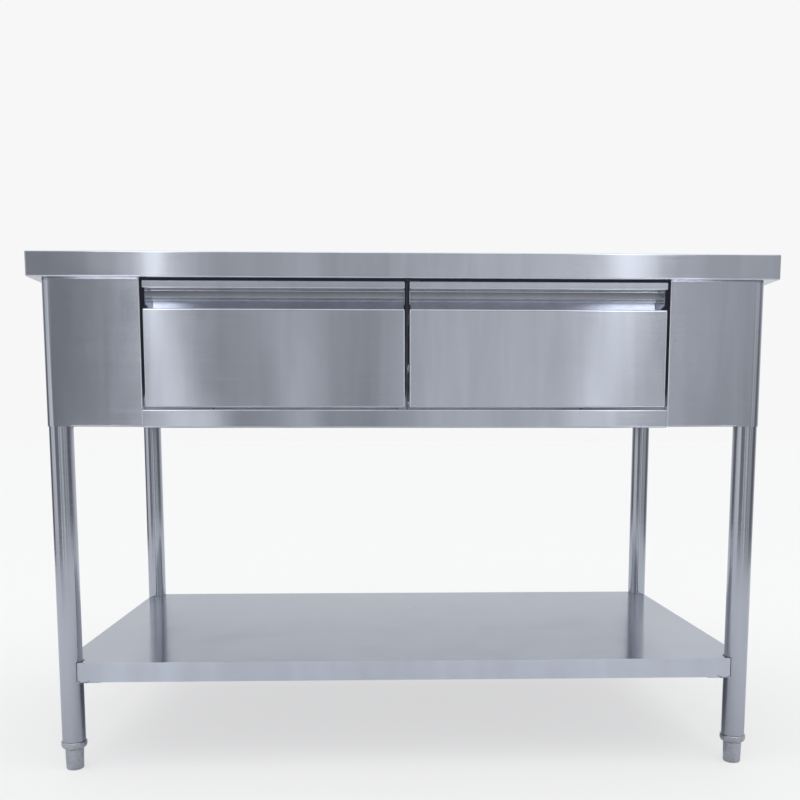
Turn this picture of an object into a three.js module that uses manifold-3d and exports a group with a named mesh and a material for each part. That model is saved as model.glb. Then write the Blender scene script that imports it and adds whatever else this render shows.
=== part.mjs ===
// Stainless steel work table with two drawers and a lower shelf.
// Millimetres, +Z up. The origin is on the floor under the middle of the table.
// The drawers face -Y, and +X is to the right of a person standing in front of them.

import * as THREE from 'three';
import { mergeVertices } from 'three/addons/utils/BufferGeometryUtils.js';
import Module from 'manifold-3d';

const wasm = await Module();
wasm.setup();

// ---------------------------------------------------------------- driving dimensions

const LENGTH = 1200;
const DEPTH = 700;
const HEIGHT = 850;
const GAP = 0.3; // between pieces that touch

const SHEET = 1.2; // thickness of apron, shelf and drawer fronts
const BEND = 2.4; // outside radius of a folded edge
const BEND_STEPS = 2;
const CORNER_STEPS = 6;
const NOTCH_STEPS = 12;
const ROUND_STEPS = 20;

const LIP = 40;
const TOP_SHEET = 1.5;
const TOP_CORNER = 3.2; // radius of the welded and ground vertical corner
const RETURN_FLANGE = 35; // from the lip's face to the flange's inner edge
const BOARD = 18;
const CHANNEL_SETBACK = 140; // from the middle of the table to a channel under the board
const CHANNEL_CROWN_HALF = 22;
const CHANNEL_BRIM_HALF = 50;
const CHANNEL_END_CLEARANCE = 2;

const LEG_RADIUS = 19.05;
const LEG_WALL = 1.2;
const APRON_SIDE_SETBACK = 15.8; // from the end of the worktop to the apron
const APRON_FRONT_SETBACK = 12;
const APRON_BOTTOM = 576;
const APRON_FLANGE = 16;
const LOWER_FLANGE_END_X = 540; // the flanges stop short of the leg, and of its top plate
const LOWER_FLANGE_END_Y = 290;
const UPPER_FLANGE_END_X = 505;
const UPPER_FLANGE_END_Y = 255;

const REAR_PANEL_HALF = 500; // half the width of the rear apron panel
const OPENING_HALF = 426; // half the width of the drawer opening
const RAIL_BOTTOM = 574;
const RAIL_TOP = 603.5;
const RAIL_DEPTH = 28;

const FRONT_TOP = 807;
const FRONT_BOTTOM = 607;
const FRONT_INNER = 3.6; // from the middle of the table to a drawer front
const FRONT_OUTER = 422;
const GROOVE_TOP = 795;
const GROOVE_BACK_BOTTOM = 783;
const GROOVE_FRONT_BOTTOM = 762;
const GROOVE_DEPTH = 25;
const GROOVE_PLATE_SETBACK = 12; // from the drawer's face to the plates that close the groove's ends

const BOX_SHEET = 1;
const BOX_BOTTOM = 625;
const BOX_TOP = 775;
const BOX_BACK = 209;
const BOX_LEDGE = 8;

const DIVIDER_SHEET = 1.5;
const WALL_FRONT = -317.7;
const WALL_BACK = 321.7;
const WALL_FLANGE = 22;

const SLIDE_THICKNESS = 12.7;
const SLIDE_CENTRE = 700;
const SLIDE_LENGTH = 500;
const SLIDE_FRONT = -308;

const SHELF_TOP = 185.5;
const SHELF_HEIGHT = 33;
const SHELF_BEND = 2.8;
const SHELF_FLANGE = 18;
const SHELF_PAST_LEG_X = 12.2; // from the legs' centre line to the shelf's edge
const SHELF_PAST_LEG_Y = 15.5;
const SHELF_CHANNEL_SETBACK = 10; // from the legs' centre line to the channel's end
const SADDLE_INSIDE_EDGE = 2;
const SEAT_CORNER = 9;

const FOOT_HEIGHT = 36.2;
const COLLAR_BOTTOM = 36.5;
const COLLAR_RADIUS = 21.1;
const LEG_BOTTOM = 49;
const INSERT_TOP = 90;
const STUD_RADIUS = 6;
const STUD_TOP = 104;

const SPIGOT_LENGTH = 66;
const SPIGOT_WALL = 3;
const PLATE = 3.2;
const PLATE_REACH = 50; // from the leg's centre to the plate's inner edges
const BOLT_RADIUS = 3;
const HEX_RADIUS = 5.8;
const BOLT_HEAD = 4;
const BOLT_TIP = 12; // from the leg's axis to the bolt's end
const BOLT_STEPS = 12;

// ---------------------------------------------------------------- derived places

const LIP_BOTTOM = HEIGHT - LIP;
const APRON_X = LENGTH / 2 - APRON_SIDE_SETBACK;
const APRON_Y = DEPTH / 2 - APRON_FRONT_SETBACK;
const APRON_TOP = LIP_BOTTOM - GAP;
const APRON_CORNER = LEG_RADIUS + GAP + SHEET;
const LEG_X = APRON_X - APRON_CORNER;
const LEG_Y = APRON_Y - APRON_CORNER;
const LEG_INSIDE = LEG_RADIUS - LEG_WALL;
const LEG_TOP = APRON_TOP - PLATE - GAP;
const PLUG_RADIUS = LEG_INSIDE - GAP;
const SHELF_X = LEG_X + SHELF_PAST_LEG_X;
const SHELF_Y = LEG_Y + SHELF_PAST_LEG_Y;
const SHELF_BOTTOM = SHELF_TOP - SHELF_HEIGHT;
const SADDLE_OUTER = LEG_RADIUS + GAP + SHEET;
const NOTCH = SADDLE_OUTER + 2 * GAP;
const LEG_BOLT_Z = LEG_TOP - SPIGOT_LENGTH / 2;
const SHELF_BOLT_Z = SHELF_TOP - SHELF_HEIGHT / 2;

const SIDES = [{ name: 'left', sign: -1 }, { name: 'right', sign: 1 }];
const ENDS = [{ name: 'front', sign: -1 }, { name: 'back', sign: 1 }];
const CORNERS = ENDS.flatMap((end) => SIDES.map((side) => ({
  name: `${end.name}_${side.name}`,
  x: side.sign * LEG_X,
  y: end.sign * LEG_Y,
  signX: side.sign,
  signY: end.sign,
  // direction from the leg towards the middle of the table, along the diagonal
  inward: Math.atan2(-end.sign, -side.sign),
})));

// ---------------------------------------------------------------- solids from geometry

function solidOf(geometry) {
  const bare = geometry.index ? geometry.toNonIndexed() : geometry.clone();
  bare.deleteAttribute('normal');
  bare.deleteAttribute('uv');
  const merged = mergeVertices(bare, 1e-4);
  const index = merged.index.array;
  const triangles = [];
  for (let i = 0; i < index.length; i += 3) {
    const [a, b, c] = [index[i], index[i + 1], index[i + 2]];
    if (a !== b && b !== c && c !== a) triangles.push(a, b, c);
  }
  return new wasm.Manifold(new wasm.Mesh({
    numProp: 3,
    vertProperties: new Float32Array(merged.attributes.position.array),
    triVerts: new Uint32Array(triangles),
  }));
}

function geometryOf(solid) {
  const mesh = solid.getMesh();
  const geometry = new THREE.BufferGeometry();
  geometry.setAttribute('position', new THREE.BufferAttribute(mesh.vertProperties, 3));
  geometry.setIndex(new THREE.BufferAttribute(mesh.triVerts, 1));
  geometry.computeVertexNormals();
  return geometry;
}

function box([x0, y0, z0], [x1, y1, z1]) {
  const geometry = new THREE.BoxGeometry(Math.abs(x1 - x0), Math.abs(y1 - y0), Math.abs(z1 - z0));
  return solidOf(geometry.translate((x0 + x1) / 2, (y0 + y1) / 2, (z0 + z1) / 2));
}

function extrusion(points, depth) {
  const shape = new THREE.Shape(points.map(([x, y]) => new THREE.Vector2(x, y)));
  return new THREE.ExtrudeGeometry(shape, { depth, bevelEnabled: false });
}

// A plan outline (X, Y) raised from z0 to z1.
function raised(points, z0, z1) {
  return solidOf(extrusion(points, z1 - z0).translate(0, 0, z0));
}

// A side outline (Y, Z) run from x0 to x1.
function alongX(points, x0, x1) {
  const geometry = extrusion(points, x1 - x0);
  geometry.rotateX(Math.PI / 2).rotateZ(Math.PI / 2);
  return solidOf(geometry.translate(x0, 0, 0));
}

// A front outline (X, Z) run from y0 to y1.
function alongY(points, y0, y1) {
  return solidOf(extrusion(points, y1 - y0).rotateX(Math.PI / 2).translate(0, y1, 0));
}

// A profile of (radius, height) points turned about a vertical axis.
function turned(profile, steps = ROUND_STEPS) {
  const points = profile.map(([radius, z]) => new THREE.Vector2(radius, z));
  return solidOf(new THREE.LatheGeometry(points, steps).rotateX(Math.PI / 2));
}

function ring(inner, outer, z0, z1) {
  return turned([[inner, z0], [outer, z0], [outer, z1], [inner, z1], [inner, z0]]);
}

function cylinder(radius, z0, z1, steps = ROUND_STEPS) {
  return turned([[0, z0], [radius, z0], [radius, z1], [0, z1]], steps);
}

// ---------------------------------------------------------------- folded sheet

// A path with its inner corners rounded to the given radii.
function roundedPath(path, radii) {
  const points = [path[0]];
  for (let i = 1; i < path.length - 1; i += 1) {
    const corner = new THREE.Vector2(...path[i]);
    const before = corner.clone().sub(new THREE.Vector2(...path[i - 1])).normalize();
    const after = new THREE.Vector2(...path[i + 1]).sub(corner).normalize();
    const turn = Math.atan2(before.cross(after), before.dot(after));
    const radius = radii[i - 1];
    const tangent = radius * Math.tan(Math.abs(turn) / 2);
    const start = corner.clone().addScaledVector(before, -tangent);
    const towardCentre = new THREE.Vector2(-before.y, before.x).multiplyScalar(Math.sign(turn) * radius);
    const centre = start.clone().add(towardCentre);
    const steps = radius > 10 ? CORNER_STEPS : BEND_STEPS;
    for (let k = 0; k <= steps; k += 1) {
      const point = start.clone().rotateAround(centre, turn * k / steps);
      points.push([point.x, point.y]);
    }
  }
  points.push(path[path.length - 1]);
  return points;
}

const pathDirections = (path) => path.slice(1).map((point, i) => (
  new THREE.Vector2(point[0] - path[i][0], point[1] - path[i][1]).normalize()
));

// The path moved to its left by a distance, with its corners still sharp.
function offsetPath(path, distance) {
  const normals = pathDirections(path).map((d) => new THREE.Vector2(-d.y, d.x));
  return path.map((point, i) => {
    const before = normals[Math.max(i - 1, 0)];
    const after = normals[Math.min(i, normals.length - 1)];
    const offset = before.clone().add(after).multiplyScalar(distance / (1 + before.dot(after)));
    return [point[0] + offset.x, point[1] + offset.y];
  });
}

// The outline of a bent sheet. The path follows one face, and the metal lies to its left.
function bentSheet(path, thickness = SHEET, bends = []) {
  const directions = pathDirections(path);
  const nearRadii = [];
  const farRadii = [];
  for (let i = 1; i < directions.length; i += 1) {
    const outside = bends[i - 1] ?? BEND;
    const turnsToMetal = directions[i - 1].cross(directions[i]) > 0;
    nearRadii.push(turnsToMetal ? outside : outside - thickness);
    farRadii.push(turnsToMetal ? outside - thickness : outside);
  }
  const farFace = roundedPath(offsetPath(path, thickness), farRadii).reverse();
  return [...roundedPath(path, nearRadii), ...farFace];
}

const mirrored = (points, sign) => points.map(([x, y]) => [sign * x, y]);

// A hat channel along X: brims at the top, crown at the bottom.
function hatChannel(centreY, z0, z1, halfLength) {
  const section = bentSheet([
    [centreY + CHANNEL_BRIM_HALF, z1],
    [centreY + CHANNEL_CROWN_HALF, z1],
    [centreY + CHANNEL_CROWN_HALF, z0 + SHEET],
    [centreY - CHANNEL_CROWN_HALF, z0 + SHEET],
    [centreY - CHANNEL_CROWN_HALF, z1],
    [centreY - CHANNEL_BRIM_HALF, z1],
  ]);
  return alongX(section, -halfLength, halfLength);
}

// A block with its top and bottom edges rounded, from a plan outline.
function roundedBlock(points, z0, z1, radius) {
  const shape = new THREE.Shape(points.map(([x, y]) => new THREE.Vector2(x, y)));
  const geometry = new THREE.ExtrudeGeometry(shape, {
    depth: z1 - z0 - 2 * radius,
    bevelThickness: radius,
    bevelSize: radius,
    bevelOffset: -radius,
    bevelSegments: BEND_STEPS,
  });
  return solidOf(geometry.translate(0, 0, z0 + radius));
}

// ---------------------------------------------------------------- scene

const table = new THREE.Group();
table.name = 'stainless_work_table';

const FINISHES = {
  worktop: { color: 0xc3c6cb, roughness: 0.32, metalness: 1 },
  apron: { color: 0xb4b6bd, roughness: 0.36, metalness: 1 },
  drawer: { color: 0xb9bbc1, roughness: 0.34, metalness: 1 },
  leg: { color: 0xb2b5ba, roughness: 0.38, metalness: 1 },
  shelf: { color: 0xc3c5ca, roughness: 0.36, metalness: 1 },
  foot: { color: 0xa9acb1, roughness: 0.42, metalness: 1 },
  hardware: { color: 0x9a9ca0, roughness: 0.4, metalness: 1 },
  slide: { color: 0xb8bcc2, roughness: 0.3, metalness: 1 },
  board: { color: 0xb08a5c, roughness: 0.85, metalness: 0 },
};

function addPart(name, solid, finish) {
  const mesh = new THREE.Mesh(geometryOf(solid), new THREE.MeshStandardMaterial(FINISHES[finish]));
  mesh.name = name;
  table.add(mesh);
}

// ---------------------------------------------------------------- worktop

function worktopSkin() {
  const [x, y, r] = [LENGTH / 2, DEPTH / 2, TOP_CORNER];
  const outline = new THREE.Shape();
  outline.absarc(x - r, y - r, r, 0, Math.PI / 2);
  outline.absarc(r - x, y - r, r, Math.PI / 2, Math.PI);
  outline.absarc(r - x, r - y, r, Math.PI, Math.PI * 1.5);
  outline.absarc(x - r, r - y, r, Math.PI * 1.5, Math.PI * 2);
  const points = outline.getPoints(BEND_STEPS).map((point) => [point.x, point.y]);
  const inside = box(
    [TOP_SHEET - x, TOP_SHEET - y, LIP_BOTTOM + TOP_SHEET],
    [x - TOP_SHEET, y - TOP_SHEET, HEIGHT - TOP_SHEET],
  );
  const mouth = box(
    [RETURN_FLANGE - x, RETURN_FLANGE - y, LIP_BOTTOM - 1],
    [x - RETURN_FLANGE, y - RETURN_FLANGE, LIP_BOTTOM + BOARD],
  );
  return roundedBlock(points, LIP_BOTTOM, HEIGHT, BEND).subtract(inside).subtract(mouth);
}

function worktopBoard() {
  const clear = TOP_SHEET + 2 * GAP;
  const top = HEIGHT - TOP_SHEET - GAP;
  return box(
    [clear - LENGTH / 2, clear - DEPTH / 2, top - BOARD],
    [LENGTH / 2 - clear, DEPTH / 2 - clear, top],
  );
}

addPart('worktop_skin', worktopSkin(), 'worktop');
addPart('worktop_board', worktopBoard(), 'board');
for (const end of ENDS) {
  const underBoard = HEIGHT - TOP_SHEET - BOARD - 2 * GAP;
  const halfLength = LENGTH / 2 - RETURN_FLANGE - CHANNEL_END_CLEARANCE;
  const channel = hatChannel(end.sign * CHANNEL_SETBACK, LIP_BOTTOM, underBoard, halfLength);
  addPart(`worktop_channel_${end.name}`, channel, 'hardware');
}

// ---------------------------------------------------------------- apron

// One sheet: inner fold at the drawer opening, front panel, side, and a short rear panel.
function sideApron(sign) {
  const plan = bentSheet([
    [OPENING_HALF, WALL_FRONT - GAP],
    [OPENING_HALF, -APRON_Y],
    [APRON_X, -APRON_Y],
    [APRON_X, APRON_Y],
    [REAR_PANEL_HALF, APRON_Y],
  ], SHEET, [BEND, APRON_CORNER, APRON_CORNER]);
  let sheet = raised(mirrored(plan, sign), APRON_BOTTOM, APRON_TOP);
  const flanges = [
    { z: APRON_BOTTOM, panelEnd: LOWER_FLANGE_END_X, sideHalf: LOWER_FLANGE_END_Y },
    { z: APRON_TOP - SHEET, panelEnd: UPPER_FLANGE_END_X, sideHalf: UPPER_FLANGE_END_Y },
  ];
  for (const { z, panelEnd, sideHalf } of flanges) {
    const panelStart = [sign * (OPENING_HALF + SHEET / 2), -APRON_Y + SHEET / 2, z];
    const panelStop = [sign * panelEnd, -APRON_Y + APRON_FLANGE, z + SHEET];
    const sideStart = [sign * (APRON_X - SHEET / 2), -sideHalf, z];
    const sideStop = [sign * (APRON_X - APRON_FLANGE), sideHalf, z + SHEET];
    sheet = sheet.add(box(panelStart, panelStop)).add(box(sideStart, sideStop));
  }
  return sheet;
}

function rearApron() {
  const section = bentSheet([
    [APRON_Y - APRON_FLANGE, APRON_BOTTOM],
    [APRON_Y, APRON_BOTTOM],
    [APRON_Y, APRON_TOP],
    [APRON_Y - APRON_FLANGE, APRON_TOP],
  ]);
  return alongX(section, GAP - REAR_PANEL_HALF, REAR_PANEL_HALF - GAP);
}

function bottomRail() {
  const section = bentSheet([
    [-APRON_Y + RAIL_DEPTH, RAIL_TOP],
    [-APRON_Y, RAIL_TOP],
    [-APRON_Y, RAIL_BOTTOM],
    [-APRON_Y + RAIL_DEPTH, RAIL_BOTTOM],
  ]);
  return alongX(section, GAP - OPENING_HALF, OPENING_HALF - GAP);
}

function drawerWall(sign) {
  const section = bentSheet([
    [OPENING_HALF + WALL_FLANGE, APRON_TOP],
    [OPENING_HALF, APRON_TOP],
    [OPENING_HALF, APRON_BOTTOM],
  ]);
  return alongY(mirrored(section, sign), WALL_FRONT, WALL_BACK);
}

function centreDivider() {
  const face = -DIVIDER_SHEET / 2;
  const section = bentSheet([
    [face + WALL_FLANGE, APRON_TOP],
    [face, APRON_TOP],
    [face, RAIL_TOP + GAP],
  ], DIVIDER_SHEET);
  return alongY(section, WALL_FRONT, WALL_BACK);
}

for (const side of SIDES) {
  addPart(`apron_${side.name}`, sideApron(side.sign), 'apron');
  addPart(`drawer_wall_${side.name}`, drawerWall(side.sign), 'hardware');
}
addPart('apron_back', rearApron(), 'apron');
addPart('bottom_rail', bottomRail(), 'apron');
addPart('centre_divider', centreDivider(), 'hardware');

// ---------------------------------------------------------------- drawers

// One folded sheet with a finger groove across it, and a return at each end.
function drawerFront(sign) {
  const face = -APRON_Y;
  const flangeEnd = face + GROOVE_DEPTH + SHEET - GAP;
  const path = [
    [flangeEnd, FRONT_TOP],
    [face, FRONT_TOP],
    [face, GROOVE_TOP],
    [face + GROOVE_DEPTH, GROOVE_TOP],
    [face + GROOVE_DEPTH, GROOVE_BACK_BOTTOM],
    [face, GROOVE_FRONT_BOTTOM],
    [face, FRONT_BOTTOM],
    [flangeEnd, FRONT_BOTTOM],
  ];
  const [x0, x1] = [FRONT_INNER, FRONT_OUTER].map((x) => sign * x).sort((a, b) => a - b);
  const slope = (GROOVE_BACK_BOTTOM - GROOVE_FRONT_BOTTOM) / GROOVE_DEPTH;
  const plateFront = face + GROOVE_PLATE_SETBACK;
  const plateOutline = [...path];
  plateOutline[3] = [plateFront, GROOVE_TOP];
  plateOutline[4] = [plateFront, GROOVE_FRONT_BOTTOM + slope * GROOVE_PLATE_SETBACK];
  const middleOfSheet = offsetPath(plateOutline, SHEET / 2);
  const endPlate = roundedPath(middleOfSheet, new Array(path.length - 2).fill(BEND - SHEET / 2));
  return alongX(bentSheet(path), x0, x1)
    .add(alongX(endPlate, x0 + GAP, x0 + GAP + SHEET))
    .add(alongX(endPlate, x1 - GAP - SHEET, x1 - GAP));
}

// An open box with a narrow ledge folded inwards round its rim.
function drawerBox(sign) {
  const front = -APRON_Y + GROOVE_DEPTH + SHEET + GAP;
  const inner = DIVIDER_SHEET / 2 + GAP + SLIDE_THICKNESS;
  const outer = OPENING_HALF - GAP - SLIDE_THICKNESS;
  const [x0, x1] = [inner, outer].map((x) => sign * x).sort((a, b) => a - b);
  const wall = BOX_SHEET;
  const rim = BOX_SHEET + BOX_LEDGE;
  return box([x0, front, BOX_BOTTOM], [x1, BOX_BACK, BOX_TOP])
    .subtract(box([x0 + wall, front + wall, BOX_BOTTOM + wall], [x1 - wall, BOX_BACK - wall, BOX_TOP - wall]))
    .subtract(box([x0 + rim, front + rim, BOX_BOTTOM + wall], [x1 - rim, BOX_BACK - rim, BOX_TOP + 1]));
}

// The three nested channels of a telescopic slide. Each section gives the distance from the
// cabinet wall and the height above the slide's middle line.
const SLIDE_MEMBERS = [
  { name: 'outer', path: [[9, 22.5], [0, 22.5], [0, -22.5], [9, -22.5]] },
  { name: 'middle', path: [[10.5, 18.6], [3.4, 18.6], [3.4, -18.6], [10.5, -18.6]] },
  { name: 'inner', path: [[6, -15], [12.4, -15], [12.4, 15], [6, 15]] },
];

function slideMember(path, wallX, toward) {
  const section = bentSheet(path).map(([u, v]) => [wallX + toward * u, SLIDE_CENTRE + v]);
  return alongY(section, SLIDE_FRONT, SLIDE_FRONT + SLIDE_LENGTH);
}

for (const side of SIDES) {
  addPart(`drawer_front_${side.name}`, drawerFront(side.sign), 'drawer');
  addPart(`drawer_box_${side.name}`, drawerBox(side.sign), 'drawer');
  const walls = [
    { name: 'wall', x: side.sign * (OPENING_HALF - GAP), toward: -side.sign },
    { name: 'divider', x: side.sign * (DIVIDER_SHEET / 2 + GAP), toward: side.sign },
  ];
  for (const wall of walls) {
    for (const { name, path } of SLIDE_MEMBERS) {
      addPart(`slide_${name}_${side.name}_${wall.name}`, slideMember(path, wall.x, wall.toward), 'slide');
    }
  }
}

// ---------------------------------------------------------------- legs and feet

// A cylinder from the leg's middle outwards through its wall, for a bolt or its hole.
function radialBar(radius, start, end, steps, corner, z) {
  return cylinder(radius, start, end, steps)
    .rotate([0, 90, 0])
    .rotate([0, 0, THREE.MathUtils.radToDeg(corner.inward)])
    .translate([corner.x, corner.y, z]);
}

function boltHole(corner, z) {
  return radialBar(BOLT_RADIUS + GAP, PLUG_RADIUS / 2, 2 * LEG_RADIUS, BOLT_STEPS, corner, z);
}

// A hexagon bolt whose head bears at the given distance from the leg's axis.
function legBolt(corner, z, seat) {
  const shank = radialBar(BOLT_RADIUS, BOLT_TIP, seat + 1, BOLT_STEPS, corner, z);
  const head = radialBar(HEX_RADIUS, seat, seat + BOLT_HEAD, 6, corner, z);
  return shank.add(head);
}

function leg(corner) {
  return ring(LEG_INSIDE, LEG_RADIUS, LEG_BOTTOM, LEG_TOP)
    .translate([corner.x, corner.y, 0])
    .subtract(boltHole(corner, LEG_BOLT_Z))
    .subtract(boltHole(corner, SHELF_BOLT_Z));
}

// A plate under the worktop with a short tube that goes down into the leg.
function legSpigot(corner) {
  const plateZ = APRON_TOP - PLATE;
  const plate = bracketPlan(corner, LEG_RADIUS, PLATE_REACH);
  const tube = ring(PLUG_RADIUS - SPIGOT_WALL, PLUG_RADIUS, LEG_TOP - SPIGOT_LENGTH, plateZ + 1);
  return raised(plate, plateZ, APRON_TOP)
    .add(tube.translate([corner.x, corner.y, 0]))
    .subtract(boltHole(corner, LEG_BOLT_Z));
}

// A square plate seen in plan, with its outer corner rounded about the leg's axis.
function bracketPlan(corner, cornerRadius, reach) {
  const cut = reach / 3; // the inner corner is cut off from here to the reach
  const arc = [];
  for (let k = 0; k <= CORNER_STEPS; k += 1) {
    const angle = (Math.PI / 2) * (k / CORNER_STEPS);
    arc.push([cornerRadius * Math.cos(angle), cornerRadius * Math.sin(angle)]);
  }
  return [...arc, [-reach, cornerRadius], [-reach, -cut], [-cut, -reach], [cornerRadius, -reach]]
    .map(([x, y]) => [corner.x + corner.signX * x, corner.y + corner.signY * y]);
}

// A plug in the leg's lower end. Its collar covers the tube, and its bore takes the foot's stud.
function footInsert(corner) {
  const bore = STUD_RADIUS + GAP;
  const shoulder = LEG_BOTTOM - GAP;
  return turned([
    [bore, COLLAR_BOTTOM],
    [16.2, COLLAR_BOTTOM],
    [19.3, 37.8],
    [20.7, 40.4],
    [COLLAR_RADIUS, 43.4],
    [COLLAR_RADIUS, shoulder - 1.6],
    [COLLAR_RADIUS - 1.4, shoulder],
    [PLUG_RADIUS, shoulder],
    [PLUG_RADIUS, INSERT_TOP],
    [bore, INSERT_TOP],
    [bore, COLLAR_BOTTOM],
  ]).translate([corner.x, corner.y, 0]);
}

function foot(corner) {
  return turned([
    [0, 0],
    [12.2, 0],
    [13.7, 0.8],
    [14.3, 2.4],
    [15.2, 34],
    [14.2, FOOT_HEIGHT],
    [STUD_RADIUS, FOOT_HEIGHT],
    [STUD_RADIUS, STUD_TOP],
    [0, STUD_TOP],
  ]).translate([corner.x, corner.y, 0]);
}

for (const corner of CORNERS) {
  addPart(`leg_${corner.name}`, leg(corner), 'leg');
  addPart(`leg_spigot_${corner.name}`, legSpigot(corner), 'hardware');
  addPart(`leg_bolt_${corner.name}`, legBolt(corner, LEG_BOLT_Z, LEG_RADIUS + GAP), 'hardware');
  addPart(`foot_insert_${corner.name}`, footInsert(corner), 'foot');
  addPart(`foot_${corner.name}`, foot(corner), 'foot');
}

// ---------------------------------------------------------------- lower shelf

// The shelf's plan: a rectangle whose corners are cut back round the legs.
function shelfPlan() {
  const longEdgeAngle = Math.PI - Math.asin(SHELF_PAST_LEG_Y / NOTCH);
  const sideEdgeAngle = 2 * Math.PI - Math.acos(SHELF_PAST_LEG_X / NOTCH);
  const quarter = [];
  for (let k = 0; k <= NOTCH_STEPS; k += 1) {
    // from the long edge, round the inner side of the leg, to the side edge
    const angle = longEdgeAngle + (k / NOTCH_STEPS) * (sideEdgeAngle - longEdgeAngle);
    quarter.push([LEG_X + NOTCH * Math.cos(angle), LEG_Y + NOTCH * Math.sin(angle)]);
  }
  const flip = (points, sx, sy) => points.map(([x, y]) => [sx * x, sy * y]);
  return [
    ...flip(quarter, 1, 1),
    ...flip(quarter, 1, -1).reverse(),
    ...flip(quarter, -1, -1),
    ...flip(quarter, -1, 1).reverse(),
  ];
}

function undershelf() {
  let hollow = box(
    [SHEET - SHELF_X, SHEET - SHELF_Y, SHELF_BOTTOM + SHEET],
    [SHELF_X - SHEET, SHELF_Y - SHEET, SHELF_TOP - SHEET],
  );
  let mouth = box(
    [SHELF_FLANGE - SHELF_X, SHELF_FLANGE - SHELF_Y, SHELF_BOTTOM - 1],
    [SHELF_X - SHELF_FLANGE, SHELF_Y - SHELF_FLANGE, SHELF_BOTTOM + 2 * SHEET],
  );
  for (const corner of CORNERS) {
    const round = (radius) => cylinder(radius, 0, HEIGHT).translate([corner.x, corner.y, 0]);
    hollow = hollow.subtract(round(NOTCH + SHEET));
    mouth = mouth.subtract(round(NOTCH + SHELF_FLANGE));
  }
  let pan = roundedBlock(shelfPlan(), SHELF_BOTTOM, SHELF_TOP, SHELF_BEND).subtract(hollow).subtract(mouth);
  for (const corner of CORNERS) {
    pan = pan.subtract(boltHole(corner, SHELF_BOLT_Z));
  }
  return pan;
}

// A curved saddle between the leg and the shelf, with a seat plate under the shelf.
function shelfBracket(corner) {
  const seatTop = SHELF_BOTTOM - GAP;
  const seatBottom = seatTop - 2 * SHEET;
  const insideShelfX = corner.signX * (SHELF_X - SADDLE_INSIDE_EDGE);
  const insideShelfY = corner.signY * (SHELF_Y - SADDLE_INSIDE_EDGE);
  const underShelf = box([0, 0, 0], [insideShelfX, insideShelfY, HEIGHT]);
  const saddle = ring(LEG_RADIUS + GAP, SADDLE_OUTER, seatBottom, SHELF_TOP - 2 * SHEET);
  const seat = raised(bracketPlan(corner, SEAT_CORNER, PLATE_REACH), seatBottom, seatTop);
  const clearance = cylinder(LEG_RADIUS + GAP, 0, HEIGHT).translate([corner.x, corner.y, 0]);
  return saddle.translate([corner.x, corner.y, 0])
    .intersect(underShelf)
    .add(seat.subtract(clearance))
    .subtract(boltHole(corner, SHELF_BOLT_Z));
}

addPart('undershelf', undershelf(), 'shelf');

const underShelfSheet = SHELF_TOP - SHEET - GAP;
const shelfChannel = hatChannel(0, SHELF_BOTTOM + SHEET, underShelfSheet, LEG_X - SHELF_CHANNEL_SETBACK);
addPart('shelf_channel', shelfChannel, 'hardware');

for (const corner of CORNERS) {
  addPart(`shelf_bracket_${corner.name}`, shelfBracket(corner), 'hardware');
  const seat = NOTCH + SHEET + GAP;
  addPart(`shelf_bolt_${corner.name}`, legBolt(corner, SHELF_BOLT_Z, seat), 'hardware');
}

export default table;
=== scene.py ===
from math import acos, asin, atan2, ceil, cos, degrees, pi, radians, sin, tan

import bmesh
import bpy
from mathutils import Matrix, Vector, noise


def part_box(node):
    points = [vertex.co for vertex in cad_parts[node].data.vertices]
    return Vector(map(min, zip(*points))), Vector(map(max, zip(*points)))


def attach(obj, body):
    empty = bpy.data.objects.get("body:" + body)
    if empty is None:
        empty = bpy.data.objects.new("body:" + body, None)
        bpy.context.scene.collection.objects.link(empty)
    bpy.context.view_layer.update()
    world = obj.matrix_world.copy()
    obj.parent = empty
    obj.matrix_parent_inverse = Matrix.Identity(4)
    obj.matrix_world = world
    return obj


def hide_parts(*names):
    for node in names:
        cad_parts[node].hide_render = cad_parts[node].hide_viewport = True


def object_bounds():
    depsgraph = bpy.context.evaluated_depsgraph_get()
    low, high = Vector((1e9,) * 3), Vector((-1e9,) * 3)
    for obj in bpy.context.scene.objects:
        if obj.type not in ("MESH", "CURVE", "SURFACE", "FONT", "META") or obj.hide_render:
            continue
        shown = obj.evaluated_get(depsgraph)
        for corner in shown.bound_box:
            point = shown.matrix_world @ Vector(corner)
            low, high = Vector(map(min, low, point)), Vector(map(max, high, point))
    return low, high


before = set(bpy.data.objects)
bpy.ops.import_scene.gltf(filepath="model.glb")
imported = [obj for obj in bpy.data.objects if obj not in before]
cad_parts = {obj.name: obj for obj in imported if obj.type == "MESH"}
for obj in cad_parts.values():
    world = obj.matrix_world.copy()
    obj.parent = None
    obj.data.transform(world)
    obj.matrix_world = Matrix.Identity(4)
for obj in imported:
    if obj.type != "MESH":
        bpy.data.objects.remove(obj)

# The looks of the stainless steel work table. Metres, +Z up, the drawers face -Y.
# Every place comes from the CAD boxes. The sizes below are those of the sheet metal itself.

MM = 0.001
SHEET = 1.2 * MM
TOP_SHEET = 1.5 * MM
BOX_SHEET = 1.0 * MM
BEND = 2.4 * MM  # outside radius of a folded edge
SHELF_BEND = 3.2 * MM
BEND_SEGMENTS = 5
TOP_CORNER = 3.2 * MM  # radius of the worktop's welded vertical corners
GAP = 0.3 * MM

SIDES = {"left": -1, "right": 1}
ENDS = {"front": -1, "back": 1}
CORNERS = [f"{end}_{side}" for end in ENDS for side in SIDES]

cad_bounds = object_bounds()


# ------------------------------------------------------------------ places from the frame

def low(node):
    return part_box(node)[0]


def high(node):
    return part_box(node)[1]


def corner_signs(corner):
    end, side = corner.split("_")
    return SIDES[side], ENDS[end]


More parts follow.
